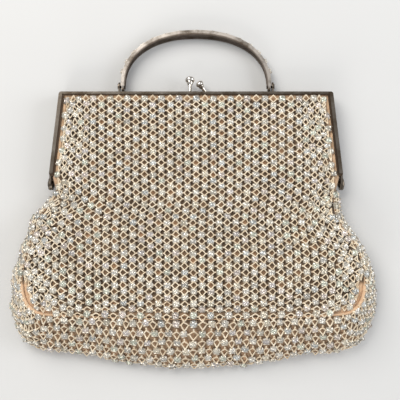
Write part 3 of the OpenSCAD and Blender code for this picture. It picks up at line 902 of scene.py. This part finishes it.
class Panel:
    """A flat panel and its net's lattice. Margins are from the cloth's edges to the stones' middles."""

    def __init__(self, patch, half, side_margin, first, last_margin, seed):
        self.patch, self.half, self.margin, self.first = patch, half, side_margin, first
        self.length = patch.rows[-1] - first - last_margin
        self.count = round(self.length / ROW)
        rows = np.arange(LATTICE_FIRST[0], self.count + 2.0)
        columns = np.arange(LATTICE_FIRST[1], 1.0 - LATTICE_FIRST[1])
        edge = self.edge(self.run_of(rows))
        self.last = np.round((edge + (BUNCHING - 1) * EDGE_ZONE) / COLUMN)
        flat, run = np.broadcast_arrays(columns[None] * COLUMN, self.run_of(rows)[:, None])
        crowd = self.crowd(rows[:, None], columns[None])
        pick = np.random.default_rng(seed)
        loose = 0.2 + 0.35 * smooth((np.abs(columns) - 12) / 5)[None]

        def stray(length, seed, share):
            return loose * waves(flat, run, length, seed) + share * crowd * pick.normal(0, 1, flat.shape)

        x = bunch(flat, edge[:, None], (self.last * COLUMN)[:, None]) + stray(22, seed + 1, STRAY[0])
        self.x = np.clip(x, -edge[:, None], edge[:, None])
        inside = np.clip(run + stray(20, seed + 2, STRAY[1]), first - 0.3, first + self.length + 0.5)
        self.run = inside + run - np.clip(run, first, first + self.length)

    def run_of(self, row):
        """Distance down the panel of a lattice row."""
        t = row / self.count
        return self.first + self.length * t * (1 - ROW_STRETCH + ROW_STRETCH * t)

    def row_of(self, run):
        """Lattice row at a distance down the panel."""
        share = np.maximum(run - self.first, -ROW) / self.length
        near = 1 - ROW_STRETCH
        return self.count * (np.sqrt(near**2 + 4 * ROW_STRETCH * share) - near) / (2 * ROW_STRETCH)

    def edge(self, run):
        """Half-width of the net, at a distance down the panel."""
        return np.interp(run, self.patch.rows, self.half - self.margin)

    def crowd(self, row, column):
        """1 at the sides of the net and 0 where it lies flat."""
        edge = self.edge(self.run_of(row))
        return smooth((np.abs(column) * COLUMN - edge + EDGE_ZONE) / EDGE_ZONE)

    def place(self, row, column):
        run, x = (between(table, row, column, LATTICE_FIRST) for table in (self.run, self.x))
        return run, x / np.interp(run, self.patch.rows, self.half)

    def lattice(self, run, across):
        """Lattice column and row of points of the cloth, for the pattern of its soiling."""
        width, edge = np.interp(run, self.patch.rows, self.half), self.edge(run)
        beyond = np.abs(across * width) - edge + EDGE_ZONE
        natural, start = np.linspace(0, BUNCHING * EDGE_ZONE, 60), 100 - EDGE_ZONE
        bunched = bunch(natural + start, 100.0, start + BUNCHING * EDGE_ZONE) - start
        flat = edge - EDGE_ZONE + np.where(beyond < 0, beyond, np.interp(beyond, bunched, natural))
        return np.sign(across) * flat / COLUMN, self.row_of(run)

    def places(self):
        """Rows and columns of the lattice that the panel has."""
        row, column = grid(np.arange(self.count + 1), np.arange(-22, 23))
        keep = np.abs(column) <= self.last[1:-1][:, None]
        return row[keep].astype(float), column[keep].astype(float)


def lay_net(name, net, row, column, crowd, materials):
    """Makes a net's three pieces: threads, stones and cups."""
    is_stone = (row + column) % 2 == 0
    shade = 1.04 - 0.2 * random.random((int((~is_stone).sum()), 1)) * np.array([[1.0, 1.1, 1.2]])
    loops = net.rings(row[~is_stone], column[~is_stone], shade)
    near_edge = crowd[is_stone]
    n = len(near_edge)
    lift = np.clip(random.normal(0, 0.07, n) * (1 + 3 * near_edge), -0.25, 0.3)
    scale = net.size * random.uniform(0.96, 1.04, n) * (1 - 0.05 * near_edge)
    # Stones near the edges and facing up get a lighter tint: a painted highlight for their glints.
    cut, cups = net.stones(row[is_stone], column[is_stone], lift, scale, 0.06 + 0.2 * near_edge,
                           1 + 0.14 * np.maximum(near_edge, net.facing))
    made = []
    for kind, (points, faces, uv, tint), slot in (
            ("threads", loops, "stone_net"), ("stones", cut, "stones"), ("cups", cups, "cup_metal")):
        points[:, 2] = np.maximum(points[:, 2], 0.02)
        made.append(put_mesh(f"{name}_{kind}", points, faces, materials[kind], kind == "threads", uv, tint))
    return made


def cloth(name, patch, depths, r, c, material, lattice=None, soil=None, crowd=0.0):
    """A sheet of cloth between two depths of its patch. Its tint is its painted shade and the net's
    crowding.
    """
    top, bottom = (patch.point(r, c, depth) for depth in depths)
    if lattice is None:
        return put_slab(name, top, bottom, material)
    tint = np.stack(np.broadcast_arrays(np.clip(soil, 0, 1), crowd, 0.0), -1)
    return put_slab(name, top, bottom, material, np.stack(lattice(r, c), -1), tint)


# ---- the bag ----

def make_materials():
    return {
        "threads": thread_material(), "stones": stone_material(), "cups": cup_material(),
        "backing": backing_material(), "lining": lining_material(),
        "front_frame": frame_material("front_frame_metal", groove=(FRAME_FACE_Z - 0.35, 0.12)),
        "frame": frame_material("aged_frame_metal"),
        "handle": frame_material("worn_handle_metal", (0.62, 0.56, 0.50), 0.53, arch=True),
        "knob": knob_material(), "paper": paper_material(),
    }


def sew_cloths(panel, names, patch, r, c, cut, held_by, materials, step, **pattern):
    """A panel's backing and lining; the CAD cloths that they replace are hidden."""
    made = []
    layers = ("backing", "backing_cloth", BACKING, 1, pattern), ("lining", "lining_satin", LINING, step, {})
    for layer, slot, depths, k, shade in layers:
        name = names.format(panel, layer)
        piece = cloth(name, patch, depths, r[::k, ::k], c[::k, ::k], materials[layer], **shade)
        halves = ("_upper", "_lower") if panel == "front" else ("",)
        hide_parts(*(f"{panel}_{layer}{half}" for half in halves))
        made.append(piece)
    return made


def bareness(y):
    """1 in the middle of the stretch of each side where the cloth shows, and 0 beyond it."""
    return smooth((BARE[1] - np.abs(y - BARE[0])) / 4 + 0.5)


def corner_soil(points):
    """0 at the lower corners, where the cloth gets no painted shade, and 1 elsewhere."""
    x, y, across, along = CORNER_PATCH
    return 1 - np.exp(-((np.abs(points[..., 0]) - x) / across) ** 2 - ((points[..., 1] - y) / along) ** 2)


def make_front(materials):
    patch, half = front_patch()
    y = patch.heights
    in_frame = np.clip((y - WAIST) / (UPPER_END - WAIST), 0, 1)
    margin = RIDGE_MARGIN + (4.35 - RIDGE_MARGIN) * in_frame + (BARE_MARGIN - RIDGE_MARGIN) * bareness(y)
    panel = Panel(patch, half, margin, FIRST_ROW, RIDGE_MARGIN, 21)
    row, column = panel.places()
    at_corner = (row == panel.count) & (np.abs(column) * COLUMN > CORNER_GAP)
    row, column = row[~at_corner], column[~at_corner]
    net = Net(patch, panel.place, PANEL_REACH)
    pieces = lay_net("front", net, row, column, panel.crowd(row, column), materials)
    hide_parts("front_net_upper", "front_net_lower")

    r, c = patch.sheet_grid()
    # The backing's painted shade under the net: none at its edges in the frame and along the bare stretch
    # of each side, none at the top and the lower corners, and deeper where the net is crowded.
    edge = np.minimum(np.interp(r, patch.rows, half) * (1 - np.abs(c)), patch.rows[-1] - r)
    unshaded = np.maximum(np.interp(r, patch.rows, in_frame), bareness(np.interp(r, patch.rows, y)))
    soil = (1 - unshaded * smooth((5.5 - edge) / 3)) * smooth((r - 2) / 3)
    soil = soil * corner_soil(patch.point(r, c))
    crowded = panel.crowd(panel.row_of(r), panel.lattice(r, c)[0])
    pieces += sew_cloths("front", "{}_{}", patch, r, c, FRONT_CUT, "front_frame", materials, 2,
                         lattice=panel.lattice, soil=soil, crowd=crowded)
    for piece in pieces:
        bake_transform(piece)


def make_back(materials):
    patch, half = back_patch()
    y = patch.heights
    margin = BACK_MARGIN[0] + (NET_TUCK - TUCK) * np.clip((y - 4) / 14, 0, 1)
    panel = Panel(patch, half, margin, FIRST_ROW, BACK_MARGIN[1], 51)
    row, column = panel.places()
    pieces = lay_net("back", Net(patch, panel.place, PANEL_REACH), row, column, 0 * row, materials)
    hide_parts("back_net")

    r, c = patch.sheet_grid()
    # The backing's painted shade under the net, fading out towards its edges.
    soil = smooth((np.interp(r, patch.rows, half) * (1 - np.abs(c)) - 4) / 7)
    pieces += sew_cloths("back", "{}_{}_cloth", patch, r, c, BACK_CUT, "back_frame", materials, 2,
                         lattice=panel.lattice, soil=soil)
    for piece in pieces:
        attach(piece, "pouch")


def make_gusset(materials):
    patch, steps, width = gusset_patch()
    count = int(steps[-1] / GUSSET_COLUMN)
    row, column = grid(np.arange(7), np.arange(-count, count + 1))
    row, column = row.ravel().astype(float), column.ravel().astype(float)

    def run_of(row, along):
        """Distance down the gusset of a lattice row. It also gives its first row, and its rows' pitch."""
        at_side = smooth((np.abs(along) - 88) / 24)
        first, pitch = (base + (side - base) * at_side for base, side in (GUSSET_FIRST, GUSSET_ROWS))
        return first + row * pitch, first, pitch

    pick = np.random.default_rng(31)
    r, c = grid(np.arange(-1, 9), np.arange(-count - 1, count + 2))
    along = c * GUSSET_COLUMN
    run = run_of(r, along)[0]
    run_table = run + 0.3 * waves(along, run, 17, 32) + 0.25 * pick.normal(0, 1, run.shape)
    along_table = along + 0.3 * waves(along, run, 14, 33) + 0.25 * pick.normal(0, 1, run.shape)
    run_table, along_table = np.maximum(run_table, -OVER_RIDGE), np.clip(along_table, -steps[-1], steps[-1])

    def place(r, c):
        return [between(table, r, c, (-1, -count - 1)) for table in (run_table, along_table)]

    away = np.abs(column) * GUSSET_COLUMN
    keep = run_of(row, away)[0] <= np.interp(away, steps, width) - GUSSET_LAST
    row, column, away = row[keep], column[keep], away[keep]
    crowd = 0.15 + 0.4 * smooth((away - 75) / 15) * smooth((150 - away) / 25)
    pieces = lay_net("gusset", Net(patch, place, GUSSET_REACH, *GUSSET_NET), row, column, crowd, materials)
    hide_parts("gusset_net")

    def lattice(r, c):
        _, first, pitch = run_of(0, c)
        return c / GUSSET_COLUMN, (r - first) / pitch

    along = np.linspace(patch.columns[0], patch.columns[-1], 301)
    share, c = grid(np.linspace(0, 1, 40), along)
    r = share * np.interp(np.abs(c), steps, width)
    at = patch.point(r, c)
    # The backing's painted shade under the net: none near the ridge along the bare stretch of each side and
    # at the lower corners, and less under the base.
    low = smooth((110 - np.abs(c)) / 20)
    unshaded = bareness(at[..., 1]) * (1 - low) * smooth((4 - r) / 3)
    soil = (0.95 - 0.3 * low * smooth(r / 12)) * (1 - unshaded) * corner_soil(at)
    pieces += sew_cloths("gusset", "{}_{}_cloth", patch, r, c, GUSSET_CUT, "back_{}_cloth", materials, 1,
                         lattice=lattice, soil=soil)
    for piece in pieces:
        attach(piece, "pouch")


def make_ridge_seam(materials):
    """The fine corded seam where the front panel meets the gusset, nearly hidden by the net."""
    q = np.linspace(0.03, 3, 150)
    right = np.concatenate([inset_path(FRONT_SEAM, q, 1.3), (seam_z(q) - 1.9)[:, None]], 1)
    line = slouched(np.concatenate([right, right[-2::-1] * np.array([-1, 1, 1])]))
    up = np.zeros_like(line)
    up[:, 2] = 1
    from_end = np.minimum(np.arange(len(line)), np.arange(len(line))[::-1])
    thickness = (0.4 + 0.7 * bareness(line[:, 1])) * np.sqrt(np.clip(from_end / 3 + 0.1, 0, 1))
    points, faces, uv = tubes(line[None], up[None], thickness[None], sides=8, closed=False)
    # Painted shade: the tint's red darkens the seam outside the bare stretch of each side, as shadow under
    # the net.
    darkening = np.repeat(0.1 + 0.55 * (1 - bareness(line[:, 1])), 8)[:, None] * np.array([[1.0, 0.0, 0.0]])
    piece = put_mesh("ridge_seam", points, faces, materials["backing"], True, uv * 0, darkening)
    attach(piece, "pouch")


def make_handle_stones(materials):
    """Small stones in tall claw cups along the outside of the handle."""
    a, b, n = HANDLE_ARCH
    angle = np.radians(np.linspace(14, 166, HANDLE_STONES))
    x = a * np.sign(np.cos(angle)) * np.abs(np.cos(angle)) ** (2 / n)
    y = b * np.sin(angle) ** (2 / n)
    slope = np.sign(x) * np.abs(x / a) ** (n - 1) / a, np.abs(y / b) ** (n - 1) / b
    out = unit(np.stack([*slope, 0 * x], 1))
    middle = np.stack([x, PIVOT_Y + y * (1 + HANDLE_FLARE / 2), np.full_like(x, PIVOT_Z)], 1)
    along = np.cross(out, np.array([0.0, 0.0, 1.0]))
    lean = y * HANDLE_FLARE / STRIP_DEPTH * out[:, 1]
    out = unit(out - lean[:, None] * np.array([0.0, 0.0, 1.0]))
    scale, one = np.full(HANDLE_STONES, HANDLE_STONE_SIZE), np.ones((HANDLE_STONES, 3))
    place = middle + out * (HANDLE_STONE_TOP - STONE_TOP * HANDLE_STONE_SIZE)
    cut = stamp(stone_template(), place, along, np.cross(out, along), out, scale, one * 0.95)
    foot = (0.45 - HANDLE_STONE_TOP) / HANDLE_STONE_SIZE + STONE_TOP
    cups = stamp(cup_template(foot), place, along, np.cross(out, along), out, scale, one)
    for name, (points, faces, uv, tint), kind, node, slot in (
            ("handle_cut_stones", cut, "stones", "handle_stones", "stones"),
            ("handle_claw_cups", cups, "cups", "handle_stone_cups", "cup_metal")):
        piece = put_mesh(name, points, faces, materials[kind], False, uv, tint)
        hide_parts(node)
        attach(piece, "handle")


def dress_metal(materials):
    """Gives the CAD metal its materials, with its edges broken by a small bevel."""
    chosen = {"front_frame": "front_frame", "handle": "handle", "front_knob": "knob", "back_knob": "knob",
              "front_packing_cord": "paper", "back_packing_cord": "paper"}
    for name, thing in frame["nodes"].items():
        if thing.hide_render:
            continue
        thing.data.materials.clear()
        thing.data.materials.append(materials[chosen.get(name, "frame")])
        if "cord" in name:
            continue
        weld = thing.modifiers.new("weld", "WELD")
        weld.merge_threshold = 1e-6
        bevel = thing.modifiers.new("bevel", "BEVEL")
        set_all(bevel, width=0.14 * MM, segments=2, limit_method="ANGLE", angle_limit=math.radians(40),
                harden_normals=False)


# ---- studio ----

def make_studio():
    corner_points = 2500.0 * np.array([[-1, -1, 0], [1, -1, 0], [1, 1, 0], [-1, 1, 0]])
    floor = put_mesh("floor", corner_points, [np.array([[0, 1, 2, 3]])], floor_material(), False)
    floor.location.z = -0.0002
    world = bpy.data.worlds.new("studio")
    world.use_nodes = True
    colour, strength = world.node_tree.nodes["Background"].inputs[:2]
    colour.default_value, strength.default_value = (0.95, 0.97, 1.0, 1), 0.46
    bpy.context.scene.world = world
    for name, at, size, power, colour in (
            ("key", (-0.4, 0.6, 0.75), 0.7, 9.0, (1.0, 0.97, 0.92)),
            ("side", (0.85, 0.15, 0.45), 0.6, 4.5, (0.95, 0.97, 1.0)),
            ("front", (-0.3, -0.85, 0.45), 0.6, 4.0, (1.0, 0.96, 0.9))):
        data = bpy.data.lights.new(name, "AREA")
        set_all(data, size=size, energy=power, color=colour)
        light = bpy.data.objects.new(name, data)
        bpy.context.scene.collection.objects.link(light)
        light.location = at
        light.rotation_euler = (-Vector(at)).to_track_quat("-Z", "Y").to_euler()


def make_camera():
    """Straight above the bag, as a person photographs it from about 0.4 m."""
    data = bpy.data.cameras.new("camera")
    set_all(data, sensor_width=36.0, lens=61.2, clip_start=0.01)
    camera = bpy.data.objects.new("camera", data)
    camera.location = (0.0024, -0.0003, 0.42)
    bpy.context.scene.collection.objects.link(camera)
    bpy.context.scene.camera = camera
    bpy.context.scene.view_settings.view_transform = "Standard"


make_camera()
make_studio()
bag_materials = make_materials()
make_front(bag_materials)
make_back(bag_materials)
make_gusset(bag_materials)
make_ridge_seam(bag_materials)
make_handle_stones(bag_materials)
dress_metal(bag_materials)
